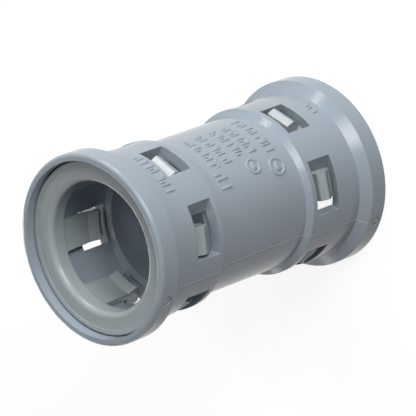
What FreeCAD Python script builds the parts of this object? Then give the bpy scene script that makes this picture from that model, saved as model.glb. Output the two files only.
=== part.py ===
import FreeCAD, Part
import math
import os

from FreeCAD import Vector

# Quick-connect coupling for half-inch nonmetallic electrical tubing.
# One moulded body with a socket at each end, and one snap-in retaining ring in each socket.
# Millimetres; Z is the axis, and the lower rim stands on Z = 0.
# Y is the direction in which the two mould halves of the body opened.

# Tube and bores, as radii
TUBE_R = 10.67            # half-inch tubing, 21.34 mm outside
THROAT_CLEARANCE = 0.43   # between the tube and the throat of a ring
PASSAGE_CLEARANCE = 0.28  # between the tube and the passage through the body
COLLAR_WALL = 1.3         # wall of a ring round its throat
COLLAR_CLEARANCE = 0.1    # between the ring's collar and the socket
STOP_HEIGHT = 1.35        # how far the centre stop stands in from the passage

# Body, walls
BARREL_WALL = 2.03        # round each socket
LIP_WALL = 1.25           # round each counterbore
MIDDLE_WALL = 2.52        # round the passage
RIM_ROUNDING = 0.65       # outer edge of each lip's front

# Body, lengths along the axis; depths are measured from the nearest mouth
LENGTH = 54.74
LIP_LENGTH = 3.67
LIP_TAPER = 1.24
STEP_OFFSET = 0.62        # from the socket's shoulder to the start of the outer step
STEP_TAPER = 0.74
STOP_WIDTH = 1.6

# Windows that the hooks of the rings spring into
FINGER_COUNT = 6
WINDOW_HALF_ANGLE = 14.0  # windows on the mould's opening direction
SIDE_WINDOW_START = 37.25 # side windows, angle from the opening direction, at the outer face
SIDE_WINDOW_END = 75.4
WINDOW_SILL = 0.37        # from the window to the level of the socket's shoulder
WINDOW_UNDERCUT = 0.7     # the wall on the mouth side lies this much nearer the mouth on its inside

# Shallow recess on each lip, on the parting line, that the mould was filled through
GATE_R = 0.9
GATE_DEPTH = 0.15
GATE_SETBACK = 1.9        # from the mouth to the recess's middle

# Retaining ring
FACE_RECESS = 1.6         # the ring's face lies this deep in the mouth
FLANGE_THICKNESS = 1.7
FLANGE_SEAT = 2.57        # how far the flange stands out from the collar
FLANGE_GAP = 0.18         # round the flange, in the counterbore
FLANGE_BEVEL = 0.2        # front outer edge of the flange
FUNNEL_R = 1.0            # rounding of the entry
FACE_STEP_WIDTH = 0.9     # raised outer band of the ring's face
FACE_STEP_HEIGHT = 0.1
COLLAR_LENGTH = 1.4       # uncut part of the collar, below the flange
FINGER_LENGTH = 9.0       # from the collar to the fingertip
FINGER_RELIEF = 0.1       # how much thinner the fingers are than the collar, on the inside
RELIEF_LENGTH = 0.6       # axial length over which they thin
FINGER_HALF_WIDTH = 2.75  # at the collar
FINGER_TAPER = 0.35       # how much narrower each side is at the fingertip
FINGER_CORNER = 0.7
SLOT_CORNER = 0.35
TIP_GAP = 2.12            # from the fingertips to the socket's shoulder
RING_TURN = 3.2           # the ring sits turned by this angle, within the play of the windows

# Hooks on the outside of the fingers, barbs on the inside
CATCH_PLAY = 0.6          # between a hook and the window's wall on the mouth side
HOOK_LENGTH = 2.9
HOOK_HALF_WIDTH = 2.38
HOOK_CATCH_HEIGHT = 1.0   # of the catch face, above the finger
HOOK_CREST_HEIGHT = 1.9   # of the crest between catch face and fingertip
HOOK_CREST_SETBACK = 1.4  # from the fingertip to the crest
HOOK_TIP_HEIGHT = 1.2     # at the fingertip
HOOK_CREST_ROUNDING = 0.5
HOOK_EDGE_ROUNDING = 0.2
BARB_HEIGHT = 0.8
BARB_LENGTH = 1.8         # axial length of the barb's ramp
BARB_BACK = 0.2           # axial length of the barb's steep back
BARB_SETBACK = 1.4        # from the barb's edge to the fingertip
TIP_THINNING = 0.2        # of the finger beyond the barb, on the inside

# What follows from the sizes above
THROAT_R = TUBE_R + THROAT_CLEARANCE
FINGER_R = THROAT_R + FINGER_RELIEF
BARB_R = FINGER_R - BARB_HEIGHT
COLLAR_R = THROAT_R + COLLAR_WALL
SOCKET_R = COLLAR_R + COLLAR_CLEARANCE
FLANGE_R = COLLAR_R + FLANGE_SEAT
COUNTERBORE_R = FLANGE_R + FLANGE_GAP
PASSAGE_R = TUBE_R + PASSAGE_CLEARANCE
STOP_R = PASSAGE_R - STOP_HEIGHT
LIP_R = COUNTERBORE_R + LIP_WALL
BARREL_R = SOCKET_R + BARREL_WALL
MIDDLE_R = PASSAGE_R + MIDDLE_WALL
SEAT_DEPTH = FACE_RECESS + FLANGE_THICKNESS
SLOT_DEPTH = SEAT_DEPTH + COLLAR_LENGTH
TIP_DEPTH = SLOT_DEPTH + FINGER_LENGTH
CATCH_DEPTH = TIP_DEPTH - HOOK_LENGTH
SOCKET_DEPTH = TIP_DEPTH + TIP_GAP
WINDOW_TOP = CATCH_DEPTH - CATCH_PLAY
WINDOW_BOTTOM = SOCKET_DEPTH - WINDOW_SILL
STEP_START = SOCKET_DEPTH + STEP_OFFSET
FINGER_PITCH = 360.0 / FINGER_COUNT
AXIS = Vector(0, 0, 1)
ORIGIN = Vector(0, 0, 0)
REACH = 2.0               # how far cutting tools run past the wall that they cut
SAME_PLACE = 1e-6


def rounded_wire(corners):
    """Closed wire in the X-Z plane; each corner is (radius, height, rounding)."""
    count = len(corners)
    starts = []
    middles = []
    ends = []
    for index, (radius, height, rounding) in enumerate(corners):
        here = Vector(radius, 0, height)
        before = corners[index - 1]
        after = corners[(index + 1) % count]
        back = (Vector(before[0], 0, before[1]) - here).normalize()
        on = (Vector(after[0], 0, after[1]) - here).normalize()
        if rounding == 0:
            starts.append(here)
            middles.append(None)
            ends.append(here)
            continue
        half_angle = back.getAngle(on) / 2
        inward = (back + on).normalize()
        setback = rounding / math.tan(half_angle)
        centre = here + inward * (rounding / math.sin(half_angle))
        starts.append(here + back * setback)
        middles.append(centre - inward * rounding)
        ends.append(here + on * setback)
    edges = []
    for index in range(count):
        if middles[index] is not None:
            edges.append(Part.Arc(starts[index], middles[index], ends[index]).toShape())
        following = (index + 1) % count
        edges.append(Part.LineSegment(ends[index], starts[following]).toShape())
    return Part.Wire(edges)


def turned(corners):
    """Solid of revolution about Z from rounded corners."""
    return Part.Face(rounded_wire(corners)).revolve(ORIGIN, AXIS, 360)


def prism(points, bottom, top):
    """Upright prism over a polygon of (x, y) points."""
    corners = [Vector(x, y, bottom) for x, y in points]
    base = Part.Face(Part.makePolygon(corners + corners[:1]))
    return base.extrude(Vector(0, 0, top - bottom))


def polar(radius, degrees):
    """Point (x, y) at an angle from the mould's opening direction, -Y."""
    angle = math.radians(degrees)
    return (radius * math.sin(angle), -radius * math.cos(angle))


def body_half_corners():
    """Section of one half of the body: outside from the waist to the mouth, then inside to the stop."""
    half = LENGTH / 2
    return [
        (MIDDLE_R, STEP_START + STEP_TAPER, 0),
        (BARREL_R, STEP_START, 0),
        (BARREL_R, LIP_LENGTH + LIP_TAPER, 0),
        (LIP_R, LIP_LENGTH, 0),
        (LIP_R, 0, RIM_ROUNDING),
        (COUNTERBORE_R, 0, 0),
        (COUNTERBORE_R, SEAT_DEPTH, 0),
        (SOCKET_R, SEAT_DEPTH, 0),
        (SOCKET_R, SOCKET_DEPTH, 0),
        (PASSAGE_R, SOCKET_DEPTH, 0),
        (PASSAGE_R, half - STOP_WIDTH / 2, 0),
        (STOP_R, half - STOP_WIDTH / 2, 0),
    ]


def window_outlines():
    """Plan outlines of the six windows; their walls leave the mould along Y where they can."""
    inside = SOCKET_R - REACH
    outside = LIP_R + REACH
    half_width = BARREL_R * math.sin(math.radians(WINDOW_HALF_ANGLE))
    side_wall = BARREL_R * math.sin(math.radians(SIDE_WINDOW_START))
    end_inside = polar(inside, SIDE_WINDOW_END)
    end_outside = polar(outside, SIDE_WINDOW_END)
    outlines = []
    for along in (1, -1):
        outlines.append([
            (-half_width, -along * inside),
            (half_width, -along * inside),
            (half_width, -along * outside),
            (-half_width, -along * outside),
        ])
        for across in (1, -1):
            outlines.append([
                (across * side_wall, along * end_inside[1]),
                (across * end_inside[0], along * end_inside[1]),
                (across * end_outside[0], along * end_outside[1]),
                (across * end_outside[0], -along * outside),
                (across * side_wall, -along * outside),
            ])
    return outlines


def window_band():
    """Ring round the lower end that holds the windows' height; its face toward the mouth is a cone."""
    inside = SOCKET_R - 2 * REACH
    outside = LIP_R + 2 * REACH
    slope = WINDOW_UNDERCUT / BARREL_WALL
    return turned([
        (inside, WINDOW_TOP - slope * (BARREL_R - inside), 0),
        (outside, WINDOW_TOP - slope * (BARREL_R - outside), 0),
        (outside, WINDOW_BOTTOM, 0),
        (inside, WINDOW_BOTTOM, 0),
    ])


def coupling_body():
    """The moulding: two sockets, a passage with a centre stop, twelve windows and two gate recesses."""
    upper = [(r, LENGTH - depth, rounding) for r, depth, rounding in body_half_corners()]
    lower = [(r, depth, rounding) for r, depth, rounding in reversed(body_half_corners())]
    body = turned(upper + lower)
    tools = []
    for outline in window_outlines():
        lower_tool = prism(outline, 0, LENGTH / 2).common(window_band())
        tools.append(lower_tool)
        tools.append(lower_tool.mirror(Vector(0, 0, LENGTH / 2), AXIS))
    for height in (GATE_SETBACK, LENGTH - GATE_SETBACK):
        start = Vector(GATE_DEPTH - LIP_R, 0, height)
        tools.append(Part.makeCylinder(GATE_R, REACH, start, Vector(-1, 0, 0)))
    return body.cut(tools)


def ring_corners():
    """Section of a retaining ring with its mouth face up at Z = 0, hooks left out."""
    face_step_r = FLANGE_R - FACE_STEP_WIDTH
    slot_root = SLOT_DEPTH - FACE_RECESS
    tip = TIP_DEPTH - FACE_RECESS
    barb_edge = tip - BARB_SETBACK
    return [
        (face_step_r, 0, 0),
        (FLANGE_R - FLANGE_BEVEL, 0, 0),
        (FLANGE_R, -FLANGE_BEVEL, 0),
        (FLANGE_R, -FLANGE_THICKNESS, 0),
        (COLLAR_R, -FLANGE_THICKNESS, 0),
        (COLLAR_R, -tip, 0),
        (FINGER_R + TIP_THINNING, -tip, 0),
        (FINGER_R + TIP_THINNING, -barb_edge - BARB_BACK, 0),
        (BARB_R, -barb_edge, 0),
        (FINGER_R, -barb_edge + BARB_LENGTH, 0),
        (FINGER_R, -slot_root - RELIEF_LENGTH, 0),
        (THROAT_R, -slot_root, 0),
        (THROAT_R, -FACE_STEP_HEIGHT, FUNNEL_R),
        (face_step_r, -FACE_STEP_HEIGHT, 0),
    ]


def slot_outline(half_width, height):
    """Triangle between the sides of two fingers; its first corner is where the sides would meet."""
    pitch = math.radians(FINGER_PITCH)
    apex_r = half_width / math.sin(pitch / 2)
    apex = Vector(apex_r * math.cos(pitch / 2), apex_r * math.sin(pitch / 2), height)
    along_first = apex + Vector(FLANGE_R, 0, 0)
    along_second = apex + Vector(FLANGE_R * math.cos(pitch), FLANGE_R * math.sin(pitch), 0)
    return Part.makePolygon([apex, along_first, along_second, apex])


def slot_cutter():
    """Wedge that clears the gap between two fingers, with rounded root corners."""
    root = FACE_RECESS - SLOT_DEPTH
    tip = FACE_RECESS - TIP_DEPTH
    narrow = slot_outline(FINGER_HALF_WIDTH, root)
    wide = slot_outline(FINGER_HALF_WIDTH - FINGER_TAPER, tip)
    wedge = Part.makeLoft([narrow, wide], True, True)
    apex = narrow.Vertexes[0].Point
    corners = [edge for edge in level_lines(wedge, root)
               if min(vertex.Point.distanceToPoint(apex) for vertex in edge.Vertexes) < SAME_PLACE]
    return wedge.makeFillet(SLOT_CORNER, corners)


def level_lines(solid, height):
    """Straight edges that lie at one height."""
    found = []
    for edge in solid.Edges:
        straight = isinstance(edge.Curve, Part.Line)
        if straight and all(abs(vertex.Z - height) < SAME_PLACE for vertex in edge.Vertexes):
            found.append(edge)
    return found


def hook():
    """Hump on the back of a finger: a square catch face toward the mouth, then a rounded crest."""
    catch = FACE_RECESS - CATCH_DEPTH
    tip = FACE_RECESS - TIP_DEPTH
    root_r = COLLAR_R - COLLAR_WALL / 2
    outline = rounded_wire([
        (root_r, catch, 0),
        (COLLAR_R + HOOK_CATCH_HEIGHT, catch, HOOK_EDGE_ROUNDING),
        (COLLAR_R + HOOK_CREST_HEIGHT, tip + HOOK_CREST_SETBACK, HOOK_CREST_ROUNDING),
        (COLLAR_R + HOOK_TIP_HEIGHT, tip, HOOK_EDGE_ROUNDING),
        (root_r, tip, 0),
    ])
    outline.translate(Vector(0, -HOOK_HALF_WIDTH, 0))
    return Part.Face(outline).extrude(Vector(0, 2 * HOOK_HALF_WIDTH, 0))


def retaining_ring():
    """Ring with six fingers, each with a hook outside and a barb inside; mouth face up at Z = 0."""
    ring = turned(ring_corners())
    slots = []
    for index in range(FINGER_COUNT):
        slot = slot_cutter()
        slot.rotate(ORIGIN, AXIS, index * FINGER_PITCH)
        slots.append(slot)
    ring = ring.cut(slots)
    ring = ring.makeFillet(FINGER_CORNER, level_lines(ring, FACE_RECESS - TIP_DEPTH))
    hooks = []
    for index in range(FINGER_COUNT):
        part = hook()
        part.rotate(ORIGIN, AXIS, index * FINGER_PITCH)
        hooks.append(part)
    return ring.fuse(hooks).removeSplitter()


def upper_retaining_ring():
    """The ring in the upper mouth, with fingers on the mould's opening direction, turned by its play."""
    ring = retaining_ring()
    ring.rotate(ORIGIN, AXIS, -90 - RING_TURN)
    ring.translate(Vector(0, 0, LENGTH - FACE_RECESS))
    return ring


def lower_retaining_ring():
    """The same ring turned end for end about the mould's opening direction."""
    ring = upper_retaining_ring()
    ring.rotate(Vector(0, 0, LENGTH / 2), Vector(0, 1, 0), 180)
    return ring


os.makedirs("parts", exist_ok=True)
coupling_body().exportStep("parts/coupling_body.step")
upper_retaining_ring().exportStep("parts/upper_retaining_ring.step")
lower_retaining_ring().exportStep("parts/lower_retaining_ring.step")
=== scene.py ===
import math

import bmesh
import bpy
from bpy.props import FloatProperty, FloatVectorProperty, IntProperty, PointerProperty
from mathutils import Matrix, Vector


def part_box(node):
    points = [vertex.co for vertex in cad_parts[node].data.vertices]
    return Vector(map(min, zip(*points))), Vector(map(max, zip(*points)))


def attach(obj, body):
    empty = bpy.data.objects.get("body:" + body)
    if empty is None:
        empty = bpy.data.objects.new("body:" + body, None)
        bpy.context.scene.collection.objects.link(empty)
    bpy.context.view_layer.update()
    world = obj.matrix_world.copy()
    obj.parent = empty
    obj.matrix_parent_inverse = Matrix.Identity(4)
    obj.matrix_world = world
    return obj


bl_info = {
    "name": "Conduit Coupling Finish",
    "version": (1, 0, 0),
    "blender": (4, 5, 0),
    "location": "3D Viewport > Sidebar > Coupling",
    "description": "Moulded plastic, raised marks, parting ridges and a plain studio",
    "category": "Material",
}

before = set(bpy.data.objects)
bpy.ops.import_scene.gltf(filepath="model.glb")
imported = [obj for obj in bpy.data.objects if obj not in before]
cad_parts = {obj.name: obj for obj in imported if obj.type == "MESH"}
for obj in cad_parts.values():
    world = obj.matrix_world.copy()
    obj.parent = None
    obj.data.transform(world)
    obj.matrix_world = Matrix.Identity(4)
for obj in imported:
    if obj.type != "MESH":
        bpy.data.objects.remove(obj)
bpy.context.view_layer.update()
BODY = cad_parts["coupling_body"]
RINGS = [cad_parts["upper_retaining_ring"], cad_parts["lower_retaining_ring"]]
TOTAL_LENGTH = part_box("coupling_body")[1].z
LIP_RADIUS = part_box("coupling_body")[1].x

MM = 0.001
FULL_TURN = 2 * math.pi

# Rows of raised ribs that run round the skin: height above the lower rim in mm, angle of the first
# rib in degrees, and the ribs. l is a tall rib, i a short one, - a low dash, and a blank a gap.
WAIST_ROWS = (
    (33.3, -76.0, "iil-li lil-l"),
    (30.3, -75.0, "lil il-lil il"),
    (26.9, -75.0, "li-lil l-lli"),
    (24.15, -76.0, "il-il lili-l"),
    (20.55, -72.0, "l-il lil i-ll l"),
)
SIZE_ROW = (33.7, -106.5, "- il l")
BARREL_ROWS = {
    "upper_barrel_ribs": (46.2, -80.0, "il-l lil -lil l"),
    "lower_barrel_ribs": (6.4, -87.5, "ii i"),
}
DASH_LENGTH = 0.5              # share of the distance from rib to rib

# Round pads on the waist: height in mm, angle in degrees, outer diameter in mm
WAIST_PADS = ((26.0, -116.2, 2.9), (21.2, -122.2, 3.3))
PAD_BAR = (0.25, 0.14)         # length and radius of the bar in a pad, as shares of its diameter

# How a raised mark is rounded, from its foot to its crown
FOOT_DEPTH = 0.5               # share of the relief that is sunk into the skin
SHOULDER_HEIGHT = 0.7          # share of the relief at which the crown starts
CROWN_INSET = 0.06 * MM
ROUND_POINTS = 32
PILL_END_POINTS = 6

# Torn stubs: waves of the outline as (share of the radius, number round the stub, phase), and the
# steps above the recess's floor as (share of the radius, share of the height)
STUB_POINTS = 24
STUB_WAVES = ((0.16, 3, 0.0), (0.1, 5, 1.0))
STUB_STEPS = ((1.0, 0.8), (0.8, 1.0), (0.45, 0.6))
STUB_FOOT = 1.1                # share of the radius
STUB_SINK = 0.05 * MM
STUB_SETBACK = 1.55 * MM       # from the rim to the middle of the stub

# Parting ridges: section as (share of the width, share of the height above the skin)
RIDGE_SECTION = ((-0.5, 0), (-0.2, 1), (0.2, 1), (0.5, 0))
RIDGE_SETBACK = 3.85 * MM      # from the rim to the end of a ridge
RIDGE_SINK = 0.04 * MM

# Noises over the plastic: scale per metre, detail and seed
DRIFT = (55.0, 3.0, 1.7)
CLOUD = (260.0, 4.0, 4.1)
GRAIN = (2600.0, 2.0, 7.3)
SHEEN = (120.0, 2.0, 2.9)
# What they add up to
TONE_SHARES = (1.6, 0.7, 0.25)     # of drift, cloud and grain in the colour
LIFT_SHARES = (0.1, 0.05)          # of grain and cloud in the height of the skin
ROUGHNESS_SHARES = (0.1, 0.03)     # of sheen and grain in the roughness

# The painted highlight along the parting ridges: a paler line in the colour that stands for light
# on the ridge, with a bump under it. It is on the body's outside only
SEAM_HALF_WIDTH = 0.09 * MM
SEAM_MIN_RADIUS = 12.9 * MM
SEAM_HIGHLIGHT_STRENGTH = 0.6
SEAM_HIGHLIGHT_SHARE = 0.22
SEAM_LIFT = 1.2

PLASTIC_IOR = 1.5
BEVEL_SAMPLES = 6
BUMP_STRENGTH = 0.35
BUMP_DISTANCE = 0.03 * MM

# Lamps: name, direction from the coupling, width and height in metres, and the level that a white
# card facing the lamp would show
LAMPS = (
    ("lamp_left", (-0.30, -0.87, 0.40), (0.30, 0.30), 0.63),
    ("lamp_right", (0.55, -0.82, 0.15), (0.30, 0.30), 0.60),
    ("lamp_strip", (-0.06, -0.43, 0.90), (0.30, 0.03), 0.18),
    ("lamp_small", (0.55, -0.46, 0.70), (0.06, 0.035), 0.05),
    ("lamp_back", (0.62, 0.77, 0.12), (0.40, 0.12), 0.27),
    ("lamp_behind", (-0.20, 0.97, 0.13), (0.40, 0.12), 0.14),
)
LAMP_DISTANCE = 0.7

# The floor: half its width in metres, and what it shows to the camera. Its glow is even, and the
# grey over it lets the coupling's shadow show.
FLOOR_HALF = 3.0
FLOOR_GLOW = 0.88
FLOOR_SHADOW_GREY = 0.22

SENSOR_WIDTH = 36
CLIP_START = 0.05
CLIP_END = 20


class MouldedSizes(bpy.types.PropertyGroup):
    relief: FloatProperty(
        name="Relief", description="How far ribs and pads stand out of the skin",
        default=0.2 * MM, min=0, unit="LENGTH")
    rib_height: FloatProperty(
        name="Rib Height", description="Length of a tall rib, along the axis",
        default=1.9 * MM, min=0, unit="LENGTH")
    rib_width: FloatProperty(
        name="Rib Width", description="Width of a rib, and of the ring round a pad",
        default=0.34 * MM, min=0, unit="LENGTH")
    rib_pitch: FloatProperty(
        name="Rib Pitch", description="Distance from rib to rib round the skin",
        default=0.62 * MM, min=0, unit="LENGTH")
    size_scale: FloatProperty(
        name="Large Rib Scale", description="Size of the row of large ribs against the others",
        default=1.35, min=0.1)
    draft: FloatProperty(
        name="Draft", description="How much wider a mark is at its foot, on each side",
        default=0.09 * MM, min=0, unit="LENGTH")
    ridge_width: FloatProperty(
        name="Ridge Width", description="Width of the ridge where the halves of the mould met",
        default=0.2 * MM, min=0, unit="LENGTH")
    ridge_height: FloatProperty(
        name="Ridge Height", description="Height of that ridge",
        default=0.07 * MM, min=0, unit="LENGTH")
    stub_radius: FloatProperty(
        name="Stub Radius", description="Radius of the stub in each gate recess",
        default=0.48 * MM, min=0, unit="LENGTH")
    stub_height: FloatProperty(
        name="Stub Height", description="Height of that stub above the recess's floor",
        default=0.12 * MM, min=0, unit="LENGTH")
    ridge_steps: IntProperty(
        name="Ridge Steps", description="Lengths into which a ridge is divided",
        default=160, min=2)


class PlasticFinish(bpy.types.PropertyGroup):
    body_color: FloatVectorProperty(
        name="Body Colour", description="Blue-grey of the moulded body",
        default=(0.335, 0.39, 0.445), min=0, max=1, subtype="COLOR")
    ring_color: FloatVectorProperty(
        name="Ring Colour", description="Slightly paler grey of the retaining rings",
        default=(0.385, 0.43, 0.445), min=0, max=1, subtype="COLOR")
    body_roughness: FloatProperty(
        name="Body Roughness", description="Roughness of the body's satin skin",
        default=0.2, min=0, max=1, subtype="FACTOR")
    ring_roughness: FloatProperty(
        name="Ring Roughness", description="Roughness of the rings",
        default=0.2, min=0, max=1, subtype="FACTOR")
    gloss: FloatProperty(
        name="Gloss", description="Strength of the plastic's reflections",
        default=0.42, min=0, max=1, subtype="FACTOR")
    mottling: FloatProperty(
        name="Mottling", description="How much the colour drifts over the skin",
        default=0.035, min=0, max=1, subtype="FACTOR")
    edge_rounding: FloatProperty(
        name="Edge Rounding", description="Radius at which light rounds the sharp edges",
        default=0.14 * MM, min=0, unit="LENGTH")


class StudioSetup(bpy.types.PropertyGroup):
    azimuth: FloatProperty(
        name="Azimuth", description="Camera's angle round the coupling; zero looks along +Y",
        default=math.radians(-43.0), unit="ROTATION")
    elevation: FloatProperty(
        name="Elevation", description="Camera's angle above the floor",
        default=math.radians(42.843), unit="ROTATION")
    roll: FloatProperty(
        name="Roll", description="Camera's turn about its line of sight",
        default=math.radians(110.16), unit="ROTATION")
    distance: FloatProperty(
        name="Distance", description="From the camera to the middle of the coupling",
        default=0.743, min=0.01, unit="LENGTH")
    lens: FloatProperty(
        name="Lens", description="Focal length in millimetres on a sensor 36 mm wide",
        default=382.9, min=1)
    shift: FloatVectorProperty(
        name="Shift", description="Camera's shift in widths of the picture", size=2,
        default=(0.00478, 0.00096))
    sky: FloatProperty(
        name="Sky", description="Even light from all round", default=0.05, min=0)
    floor_color: FloatVectorProperty(
        name="Floor Colour", description="Grey of the floor, for the light that it throws back",
        default=(0.1, 0.1, 0.1), min=0, max=1, subtype="COLOR")


class Number:
    """A node socket with a number on it, for sums written in Python."""

    def __init__(self, builder, socket):
        self.builder = builder
        self.socket = socket

    def math(self, operation, *values):
        inputs = dict(enumerate(values))
        node = self.builder.node("ShaderNodeMath", {"operation": operation}, inputs)
        return Number(self.builder, node.outputs[0])

    def __add__(self, other):
        return self.math("ADD", self, other)

    def __radd__(self, other):
        return self.math("ADD", other, self)

    def __sub__(self, other):
        return self.math("SUBTRACT", self, other)

    def __rsub__(self, other):
        return self.math("SUBTRACT", other, self)

    def __mul__(self, other):
        return self.math("MULTIPLY", self, other)

    def __rmul__(self, other):
        return self.math("MULTIPLY", other, self)

    def __truediv__(self, other):
        return self.math("DIVIDE", self, other)

    def __rtruediv__(self, other):
        return self.math("DIVIDE", other, self)

    def __gt__(self, other):
        return self.math("GREATER_THAN", self, other)

    def __abs__(self):
        return self.math("ABSOLUTE", self)

    def clamped(self):
        return self.math("MAXIMUM", self.math("MINIMUM", self, 1.0), 0.0)


class Builder:
    """Adds nodes to one tree."""

    def __init__(self, tree):
        self.tree = tree
        tree.nodes.clear()

    def node(self, kind, settings=None, inputs=None):
        made = self.tree.nodes.new(kind)
        for name, value in (settings or {}).items():
            setattr(made, name, value)
        for key, value in (inputs or {}).items():
            socket = value.socket if isinstance(value, Number) else value
            if isinstance(socket, bpy.types.NodeSocket):
                self.tree.links.new(socket, made.inputs[key])
            else:
                made.inputs[key].default_value = socket
        return made

    def mixed(self, factor, first, second):
        """Colour between two colours."""
        inputs = {"Factor": factor, 6: first, 7: second}
        return self.node("ShaderNodeMix", {"data_type": "RGBA"}, inputs).outputs[2]


def noise(builder, place, scale, detail, seed):
    """Soft noise round zero, from about -0.5 to 0.5."""
    inputs = {"Vector": place, "Scale": scale, "Detail": detail, "W": seed}
    node = builder.node("ShaderNodeTexNoise", {"noise_dimensions": "4D"}, inputs)
    return Number(builder, node.outputs["Fac"]) - 0.5


def shade(color, share):
    """Colour made lighter or darker by a share, as a colour with alpha."""
    return [min(1.0, part * (1 + share)) for part in color] + [1.0]


def seam_line(builder, place):
    """1 on the line where the mould's halves met, on the outside of the body, and 0 elsewhere."""
    split = builder.node("ShaderNodeSeparateXYZ", None, {0: place})
    x, y = [Number(builder, split.outputs[name]) for name in "XY"]
    return (1 - abs(y) / SEAM_HALF_WIDTH).clamped() * (abs(x) > SEAM_MIN_RADIUS)


def moulded_plastic(name, color, roughness, finish, has_seam):
    """Satin moulded plastic: drifting colour, fine grain, uneven gloss and softened edges, and with
    has_seam a painted highlight along the parting seam.
    """
    material = bpy.data.materials.new(name)
    material.use_nodes = True
    builder = Builder(material.node_tree)
    place = builder.node("ShaderNodeTexCoord").outputs["Object"]
    drift, cloud, grain, sheen = [
        noise(builder, place, *numbers) for numbers in (DRIFT, CLOUD, GRAIN, SHEEN)]

    of_drift, of_cloud, of_grain = TONE_SHARES
    tone = (drift * of_drift + cloud * of_cloud + grain * of_grain + 0.5).clamped()
    paint = builder.mixed(tone, shade(color, -finish.mottling), shade(color, finish.mottling))
    of_grain, of_cloud = LIFT_SHARES
    lift = grain * of_grain + cloud * of_cloud
    of_sheen, of_grain = ROUGHNESS_SHARES
    uneven = (sheen * of_sheen + grain * of_grain + roughness).clamped()
    if has_seam:
        # Painted highlight: the colour is made paler along the parting ridge, and a bump lifts the
        # same line
        seam = seam_line(builder, place)
        paint = builder.mixed(seam * SEAM_HIGHLIGHT_STRENGTH, paint, shade(color, SEAM_HIGHLIGHT_SHARE))
        lift = lift + seam * SEAM_LIFT

    radius = {"Radius": finish.edge_rounding}
    rounded = builder.node("ShaderNodeBevel", {"samples": BEVEL_SAMPLES}, radius)
    bump = builder.node("ShaderNodeBump", None, {
        "Strength": BUMP_STRENGTH, "Distance": BUMP_DISTANCE, "Height": lift,
        "Normal": rounded.outputs[0]})
    surface = builder.node("ShaderNodeBsdfPrincipled", None, {
        "Base Color": paint, "Roughness": uneven, "IOR": PLASTIC_IOR,
        "Specular IOR Level": finish.gloss, "Normal": bump.outputs[0]})
    builder.node("ShaderNodeOutputMaterial", None, {"Surface": surface.outputs[0]})
    return material


def skin_radius(angle, height):
    """Radius of the body's outside at an angle and a height."""
    outward = Vector((math.cos(angle), math.sin(angle), 0))
    start = outward * 2 * LIP_RADIUS + Vector((0, 0, height))
    found, place, _, _ = BODY.ray_cast(start, -outward)
    if not found:
        raise RuntimeError("no skin under a mark")
    return place.to_2d().length


def circle(radius):
    """Outline of a disc: (round, along) points."""
    turns = [FULL_TURN * index / ROUND_POINTS for index in range(ROUND_POINTS)]
    return [(radius * math.cos(turn), radius * math.sin(turn)) for turn in turns]


def pill(length, radius):
    """Outline of a bar with round ends: (round, along) points; the bar runs along."""
    points = []
    for index in range(2 * PILL_END_POINTS):
        half, step = divmod(index, PILL_END_POINTS)
        turn = math.pi * (half + step / (PILL_END_POINTS - 1))
        end = length / 2 - half * length
        points.append((radius * math.cos(turn), end + radius * math.sin(turn)))
    return points


def join_rows(mesh, rows, closed):
    """Faces between each row of points and the next. A closed row ends where it starts."""
    count = len(rows[0])
    for low, high in zip(rows, rows[1:]):
        for index in range(count if closed else count - 1):
            following = (index + 1) % count
            mesh.faces.new((low[index], low[following], high[following], high[index]))


def loft(mesh, angle, height, loops, capped):
    """Joins outlines, given as (points, distance above the skin) from the foot to the crown."""
    radius = skin_radius(angle, height)
    rows = []
    for outline, out in loops:
        far = radius + out
        row = []
        for around, along in outline:
            turn = angle + around / radius
            place = (far * math.cos(turn), far * math.sin(turn), height + along)
            row.append(mesh.verts.new(place))
        rows.append(row)
    join_rows(mesh, rows, closed=True)
    if capped:
        mesh.faces.new(rows[-1])


def mark_profile(sizes):
    """Side of a raised mark, from foot to crown: (distance outward, distance above the skin)."""
    return (
        (sizes.draft, -FOOT_DEPTH * sizes.relief),
        (0, SHOULDER_HEIGHT * sizes.relief),
        (-CROWN_INSET, sizes.relief),
    )


def raise_pill(mesh, angle, height, length, radius, sizes, lying=False):
    """A bar with drafted sides and a rounded top; lying, it runs round the skin."""
    loops = []
    for offset, out in mark_profile(sizes):
        outline = pill(length, radius + offset)
        if lying:
            outline = [(along, -around) for around, along in outline]
        loops.append((outline, out))
    loft(mesh, angle, height, loops, capped=True)


def raise_ring(mesh, angle, height, outer, width, sizes):
    """A raised round ring."""
    profile = mark_profile(sizes)
    loops = [(circle(outer + offset), out) for offset, out in profile]
    loops += [(circle(outer - width - offset), out) for offset, out in reversed(profile)]
    loft(mesh, angle, height, loops, capped=False)


def raise_row(mesh, row, sizes, scale=1.0):
    """A row of ribs that runs round the skin toward the parting ridge at -X."""
    height, start, marks = row
    height *= MM
    angle = math.radians(start)
    half_width = scale * sizes.rib_width / 2
    tall = scale * sizes.rib_height - 2 * half_width
    pitch = scale * sizes.rib_pitch
    turn = pitch / skin_radius(angle, height)
    for mark in marks:
        if mark == "l":
            raise_pill(mesh, angle, height, tall, half_width, sizes)
        elif mark == "i":
            raise_pill(mesh, angle, height + tall / 4, tall / 2, half_width, sizes)
        elif mark == "-":
            foot = height - tall / 2
            raise_pill(mesh, angle, foot, DASH_LENGTH * pitch, half_width, sizes, lying=True)
        angle -= turn


def raise_stub(mesh, angle, height, sizes):
    """The low, torn stub that is left where the mould was filled."""
    outline = []
    for index in range(STUB_POINTS):
        turn = FULL_TURN * index / STUB_POINTS
        waves = sum(share * math.cos(count * turn + phase) for share, count, phase in STUB_WAVES)
        radius = sizes.stub_radius * (1 + waves)
        outline.append((radius * math.cos(turn), radius * math.sin(turn)))
    steps = [(STUB_FOOT, -STUB_SINK)]
    steps += [(scale, share * sizes.stub_height) for scale, share in STUB_STEPS]
    loops = []
    for scale, out in steps:
        loops.append(([(scale * around, scale * along) for around, along in outline], out))
    loft(mesh, angle, height, loops, capped=True)


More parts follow.
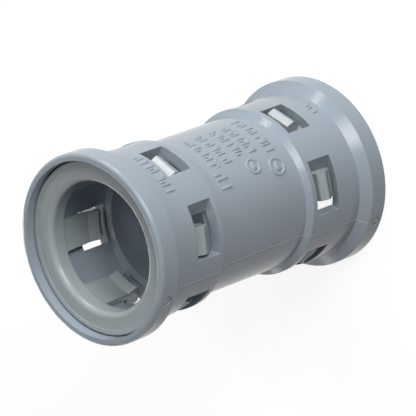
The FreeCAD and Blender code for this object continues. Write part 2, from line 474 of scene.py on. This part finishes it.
def raise_ridge(mesh, side, sizes):
    """The fine ridge along the body on +X or -X; its ends sink into the skin."""
    angle = 0 if side > 0 else math.pi
    length = TOTAL_LENGTH - 2 * RIDGE_SETBACK
    rows = []
    for index in range(sizes.ridge_steps + 1):
        height = RIDGE_SETBACK + index / sizes.ridge_steps * length
        radius = skin_radius(angle, height)
        is_end = index in (0, sizes.ridge_steps)
        row = []
        for across, raised in RIDGE_SECTION:
            out = sizes.ridge_height if raised and not is_end else -RIDGE_SINK
            corner = (side * (radius + out), across * sizes.ridge_width, height)
            row.append(mesh.verts.new(corner))
        rows.append(row)
    join_rows(mesh, rows, closed=False)


def body_plastic():
    """The body's material, made once."""
    material = bpy.data.materials.get("Body_Plastic")
    if material is None:
        finish = bpy.context.scene.coupling_finish
        material = moulded_plastic(
            "Body_Plastic", finish.body_color, finish.body_roughness, finish, has_seam=True)
    return material


def add_mark(name, mesh):
    """Turns a mesh into a piece of the body."""
    bmesh.ops.recalc_face_normals(mesh, faces=mesh.faces)
    data = bpy.data.meshes.new(name)
    mesh.to_mesh(data)
    mesh.free()
    data.shade_smooth()
    data.materials.append(body_plastic())
    piece = bpy.data.objects.new(name, data)
    bpy.context.scene.collection.objects.link(piece)
    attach(piece, "root")


def dress(node, material):
    """Gives a CAD node its material."""
    node.data.materials.clear()
    node.data.materials.append(material)


class FinishBody(bpy.types.Operator):
    """Give the moulded body its blue-grey satin plastic"""

    bl_idname = "coupling.finish_body"
    bl_label = "Finish Body"

    def execute(self, context):
        dress(BODY, body_plastic())
        return {"FINISHED"}


class FinishRings(bpy.types.Operator):
    """Give both retaining rings their slightly paler grey plastic"""

    bl_idname = "coupling.finish_rings"
    bl_label = "Finish Retaining Rings"

    def execute(self, context):
        finish = context.scene.coupling_finish
        material = moulded_plastic(
            "Ring_Plastic", finish.ring_color, finish.ring_roughness, finish, has_seam=False)
        for ring in RINGS:
            dress(ring, material)
        return {"FINISHED"}


class RaiseWaistMarks(bpy.types.Operator):
    """Raise the rows of plain ribs and the two round pads on the waist"""

    bl_idname = "coupling.raise_waist_marks"
    bl_label = "Raise Waist Marks"

    def execute(self, context):
        sizes = context.scene.coupling_sizes
        mesh = bmesh.new()
        for row in WAIST_ROWS:
            raise_row(mesh, row, sizes)
        raise_row(mesh, SIZE_ROW, sizes, sizes.size_scale)
        add_mark("waist_ribs", mesh)
        mesh = bmesh.new()
        bar_length, bar_radius = PAD_BAR
        for height, angle, diameter in WAIST_PADS:
            place = (math.radians(angle), height * MM)
            diameter *= MM
            raise_ring(mesh, *place, diameter / 2, sizes.rib_width, sizes)
            raise_pill(
                mesh, *place, bar_length * diameter, bar_radius * diameter, sizes, lying=True)
        add_mark("waist_pads", mesh)
        return {"FINISHED"}


class RaiseBarrelMarks(bpy.types.Operator):
    """Raise the rows of plain ribs on the two barrels"""

    bl_idname = "coupling.raise_barrel_marks"
    bl_label = "Raise Barrel Marks"

    def execute(self, context):
        sizes = context.scene.coupling_sizes
        for name, row in BARREL_ROWS.items():
            mesh = bmesh.new()
            raise_row(mesh, row, sizes)
            add_mark(name, mesh)
        return {"FINISHED"}


class RaiseGateStubs(bpy.types.Operator):
    """Raise the low stubs in the two gate recesses on the lips"""

    bl_idname = "coupling.raise_gate_stubs"
    bl_label = "Raise Gate Stubs"

    def execute(self, context):
        sizes = context.scene.coupling_sizes
        upper = TOTAL_LENGTH - STUB_SETBACK
        for name, height in (("upper_gate_stub", upper), ("lower_gate_stub", STUB_SETBACK)):
            mesh = bmesh.new()
            raise_stub(mesh, math.pi, height, sizes)
            add_mark(name, mesh)
        return {"FINISHED"}


class RaisePartingRidges(bpy.types.Operator):
    """Raise the fine ridges where the two halves of the mould met"""

    bl_idname = "coupling.raise_parting_ridges"
    bl_label = "Raise Parting Ridges"

    def execute(self, context):
        sizes = context.scene.coupling_sizes
        for name, side in (("parting_ridge_left", -1), ("parting_ridge_right", 1)):
            mesh = bmesh.new()
            raise_ridge(mesh, side, sizes)
            add_mark(name, mesh)
        return {"FINISHED"}


def seen(builder):
    """1 for rays that show the background: from the camera, or through gloss or clear stuff."""
    path = builder.node("ShaderNodeLightPath")
    camera, glossy, clear = [Number(builder, path.outputs[name]) for name in (
        "Is Camera Ray", "Is Glossy Ray", "Is Transmission Ray")]
    return (camera + glossy + clear).clamped()


class SetStage(bpy.types.Operator):
    """Lay the pale floor and place the lamps, the sky and the camera"""

    bl_idname = "coupling.set_stage"
    bl_label = "Set Stage"

    def execute(self, context):
        scene = context.scene
        studio = scene.coupling_studio
        centre = Vector((0, 0, TOTAL_LENGTH / 2))
        self.lay_floor(scene, studio)
        self.light_sky(scene, studio)
        for name, direction, size, level in LAMPS:
            self.hang_lamp(scene, name, centre, Vector(direction).normalized(), size, level)
        self.place_camera(scene, studio, centre)
        scene.view_settings.view_transform = "Standard"
        return {"FINISHED"}

    def lay_floor(self, scene, studio):
        data = bpy.data.meshes.new("floor")
        corners = [
            (x * FLOOR_HALF, y * FLOOR_HALF, 0) for x, y in ((-1, -1), (1, -1), (1, 1), (-1, 1))]
        data.from_pydata(corners, [], [(0, 1, 2, 3)])
        material = bpy.data.materials.new("Floor_Card")
        material.use_nodes = True
        builder = Builder(material.node_tree)
        grey = [FLOOR_SHADOW_GREY] * 3 + [1.0]
        plain = builder.node("ShaderNodeBsdfDiffuse", None, {"Color": [*studio.floor_color, 1.0]})
        faint = builder.node("ShaderNodeBsdfDiffuse", None, {"Color": grey})
        glow = builder.node("ShaderNodeEmission", None, {"Strength": FLOOR_GLOW})
        white = builder.node("ShaderNodeAddShader", None, {0: faint.outputs[0], 1: glow.outputs[0]})
        both = builder.node("ShaderNodeMixShader", None, {
            0: seen(builder), 1: plain.outputs[0], 2: white.outputs[0]})
        builder.node("ShaderNodeOutputMaterial", None, {"Surface": both.outputs[0]})
        data.materials.append(material)
        floor = bpy.data.objects.new("floor", data)
        scene.collection.objects.link(floor)

    def light_sky(self, scene, studio):
        world = bpy.data.worlds.new("Studio_Sky")
        world.use_nodes = True
        builder = Builder(world.node_tree)
        even = builder.node("ShaderNodeBackground", None, {"Strength": studio.sky})
        white = builder.node("ShaderNodeBackground", None, {
            "Color": (1, 1, 1, 1), "Strength": 1.0})
        both = builder.node("ShaderNodeMixShader", None, {
            0: seen(builder), 1: even.outputs[0], 2: white.outputs[0]})
        builder.node("ShaderNodeOutputWorld", None, {"Surface": both.outputs[0]})
        scene.world = world

    def hang_lamp(self, scene, name, centre, direction, size, level):
        data = bpy.data.lights.new(name, "AREA")
        data.shape = "RECTANGLE"
        data.size, data.size_y = size
        data.energy = level * (math.pi * LAMP_DISTANCE) ** 2
        lamp = bpy.data.objects.new(name, data)
        lamp.location = centre + direction * LAMP_DISTANCE
        lamp.rotation_mode = "QUATERNION"
        lamp.rotation_quaternion = direction.to_track_quat("Z", "Y")
        scene.collection.objects.link(lamp)

    def place_camera(self, scene, studio, centre):
        azimuth = studio.azimuth
        elevation = studio.elevation
        level = math.cos(elevation)
        back = Vector((math.sin(azimuth) * level, -math.cos(azimuth) * level, math.sin(elevation)))
        side = Vector((math.cos(azimuth), math.sin(azimuth), 0))
        upright = back.cross(side)
        right = math.cos(studio.roll) * side - math.sin(studio.roll) * upright
        up = math.sin(studio.roll) * side + math.cos(studio.roll) * upright
        data = bpy.data.cameras.new("camera")
        data.lens = studio.lens
        data.sensor_width = SENSOR_WIDTH
        data.shift_x, data.shift_y = studio.shift
        data.clip_start = CLIP_START
        data.clip_end = CLIP_END
        camera = bpy.data.objects.new("camera", data)
        place = Matrix((right, up, back)).transposed().to_4x4()
        place.translation = centre + back * studio.distance
        camera.matrix_world = place
        scene.collection.objects.link(camera)
        scene.camera = camera


class CouplingPanel(bpy.types.Panel):
    """Sizes, finishes and steps of the coupling"""

    bl_idname = "VIEW3D_PT_coupling"
    bl_label = "Conduit Coupling"
    bl_space_type = "VIEW_3D"
    bl_region_type = "UI"
    bl_category = "Coupling"

    def draw(self, context):
        scene = context.scene
        for group in (scene.coupling_sizes, scene.coupling_finish, scene.coupling_studio):
            column = self.layout.column(align=True)
            for name in group.bl_rna.properties.keys():
                if name not in ("rna_type", "name"):
                    column.prop(group, name)
            self.layout.separator()
        for operator in OPERATORS:
            self.layout.operator(operator.bl_idname)


GROUPS = (MouldedSizes, PlasticFinish, StudioSetup)
OPERATORS = (
    FinishBody, FinishRings, RaiseWaistMarks, RaiseBarrelMarks, RaiseGateStubs, RaisePartingRidges,
    SetStage)
CLASSES = (*GROUPS, *OPERATORS, CouplingPanel)


def register():
    for cls in CLASSES:
        bpy.utils.register_class(cls)
    bpy.types.Scene.coupling_sizes = PointerProperty(type=MouldedSizes)
    bpy.types.Scene.coupling_finish = PointerProperty(type=PlasticFinish)
    bpy.types.Scene.coupling_studio = PointerProperty(type=StudioSetup)


def unregister():
    del bpy.types.Scene.coupling_studio
    del bpy.types.Scene.coupling_finish
    del bpy.types.Scene.coupling_sizes
    for cls in reversed(CLASSES):
        bpy.utils.unregister_class(cls)


def main():
    register()
    for operator in OPERATORS:
        group, name = operator.bl_idname.split(".")
        getattr(getattr(bpy.ops, group), name)()


if __name__ == "__main__":
    main()
